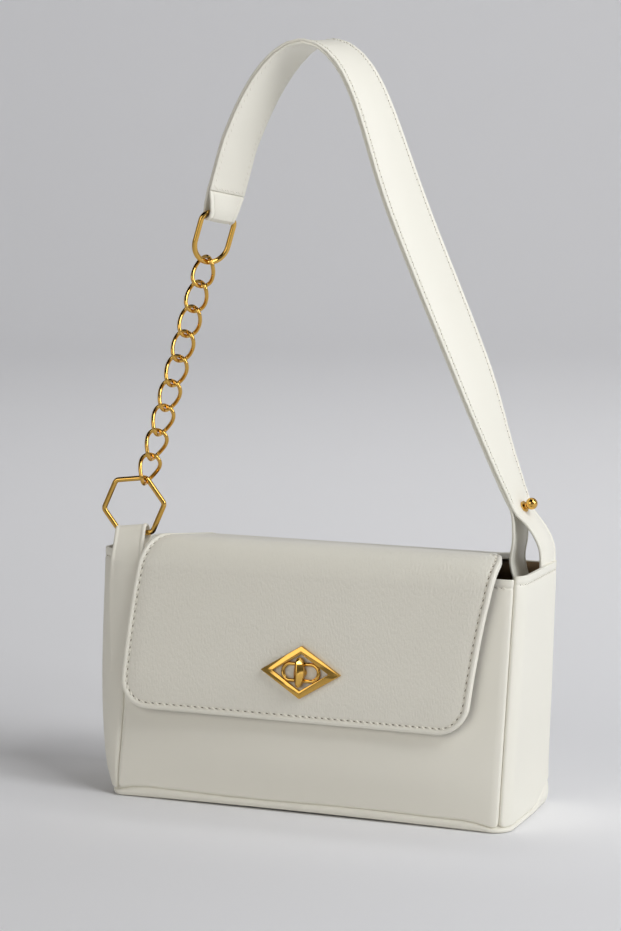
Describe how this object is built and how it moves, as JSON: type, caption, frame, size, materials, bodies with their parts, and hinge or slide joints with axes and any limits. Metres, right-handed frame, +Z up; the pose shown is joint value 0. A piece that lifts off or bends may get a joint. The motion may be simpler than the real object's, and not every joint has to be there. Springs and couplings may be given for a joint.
{
  "type": "chain shoulder bag",
  "caption": "Structured leather shoulder bag with a fold-over flap, a diamond-framed turn lock, and a carry handle that is part wide strap and part curb chain between metal rings.",
  "frame": {"origin": "centre of the base, on the surface the bag stands on", "axes": "+X to the right seen from the front, +Y to the back, +Z up"},
  "size_m": [0.2632, 0.0935, 0.4354],
  "materials": {
    "leather": "smooth ivory leather with a soft sheen",
    "flap_leather": "finely pebbled ivory leather",
    "suede": "matte brown suede",
    "gold": "polished gold plate",
    "steel": "plain plated steel",
    "board": "fibre board, hidden"
  },
  "bodies": {
    "body": {"front_panel": "leather", "back_panel": "leather", "left_gusset": "leather", "right_gusset": "leather", "base_panel": "leather", "base_board": "board", "lining_front": "suede", "lining_back": "suede", "lining_left": "suede", "lining_right": "suede", "lining_base": "suede", "ring_tab": "leather", "strap_anchor_outer": "leather", "strap_anchor_inner": "leather", "strike_keeper": "gold", "strike_backing": "steel", "strike_rivets": "steel"},
    "flap_top": {"flap_top_leather": "flap_leather", "flap_top_lining": "suede"},
    "flap_front": {"flap_front_leather": "flap_leather", "flap_front_lining": "suede", "lock_bezel": "gold", "lock_escutcheon": "gold", "lock_back_plate": "steel", "lock_screws": "steel"},
    "lock": {"lock_knob": "gold", "lock_tongue": "gold"},
    "handle": {"hexagon_ring": "gold", "oblong_ring": "gold", "strap_outer": "leather", "strap_lining": "leather", "strap_stud": "gold", "stud_screw": "gold"},
    "link_1": {"chain_link_1": "gold"},
    "link_2": {"chain_link_2": "gold"},
    "link_3": {"chain_link_3": "gold"},
    "link_4": {"chain_link_4": "gold"},
    "link_5": {"chain_link_5": "gold"},
    "link_6": {"chain_link_6": "gold"},
    "link_7": {"chain_link_7": "gold"},
    "link_8": {"chain_link_8": "gold"},
    "link_9": {"chain_link_9": "gold"}
  },
  "joints": [
    {"name": "flap_lift", "type": "hinge", "parent": "body", "child": "flap_top", "pos_m": [0, 0.042, 0.141], "axis": [-1, 0, 0], "range_deg": [0, 30]},
    {"name": "flap_fold", "type": "hinge", "parent": "flap_top", "child": "flap_front", "pos_m": [0, -0.0132, 0.1482], "axis": [-1, 0, 0], "range_deg": [0, 80]},
    {"name": "knob_turn", "type": "hinge", "parent": "flap_front", "child": "lock", "pos_m": [0, -0.03364, 0.08], "axis": [0, -0.9917, 0.1284], "range_deg": [0, 90]},
    {"name": "handle_swing", "type": "hinge", "parent": "body", "child": "handle", "pos_m": [-0.11635, -0.01372, 0.149], "axis": [-0.9861, -0.166, -0.0107], "range_deg": [-60, 45]},
    {"name": "link_1_twist", "type": "hinge", "parent": "handle", "child": "link_1", "pos_m": [-0.10918, -0.01252, 0.18668], "axis": [0.2768, 0.0466, 0.9598], "range_deg": [-12, 12]},
    {"name": "link_2_twist", "type": "hinge", "parent": "handle", "child": "link_2", "pos_m": [-0.10503, -0.01182, 0.20108], "axis": [0.2768, 0.0466, 0.9598], "range_deg": [-12, 12]},
    {"name": "link_3_twist", "type": "hinge", "parent": "handle", "child": "link_3", "pos_m": [-0.10088, -0.01112, 0.21548], "axis": [0.2768, 0.0466, 0.9598], "range_deg": [-12, 12]},
    {"name": "link_4_twist", "type": "hinge", "parent": "handle", "child": "link_4", "pos_m": [-0.09673, -0.01042, 0.22987], "axis": [0.2768, 0.0466, 0.9598], "range_deg": [-12, 12]},
    {"name": "link_5_twist", "type": "hinge", "parent": "handle", "child": "link_5", "pos_m": [-0.09257, -0.00972, 0.24427], "axis": [0.2768, 0.0466, 0.9598], "range_deg": [-12, 12]},
    {"name": "link_6_twist", "type": "hinge", "parent": "handle", "child": "link_6", "pos_m": [-0.08842, -0.00902, 0.25867], "axis": [0.2768, 0.0466, 0.9598], "range_deg": [-12, 12]},
    {"name": "link_7_twist", "type": "hinge", "parent": "handle", "child": "link_7", "pos_m": [-0.08427, -0.00832, 0.27306], "axis": [0.2768, 0.0466, 0.9598], "range_deg": [-12, 12]},
    {"name": "link_8_twist", "type": "hinge", "parent": "handle", "child": "link_8", "pos_m": [-0.08012, -0.00762, 0.28746], "axis": [0.2768, 0.0466, 0.9598], "range_deg": [-12, 12]},
    {"name": "link_9_twist", "type": "hinge", "parent": "handle", "child": "link_9", "pos_m": [-0.07597, -0.00692, 0.30186], "axis": [0.2768, 0.0466, 0.9598], "range_deg": [-12, 12]}
  ]
}
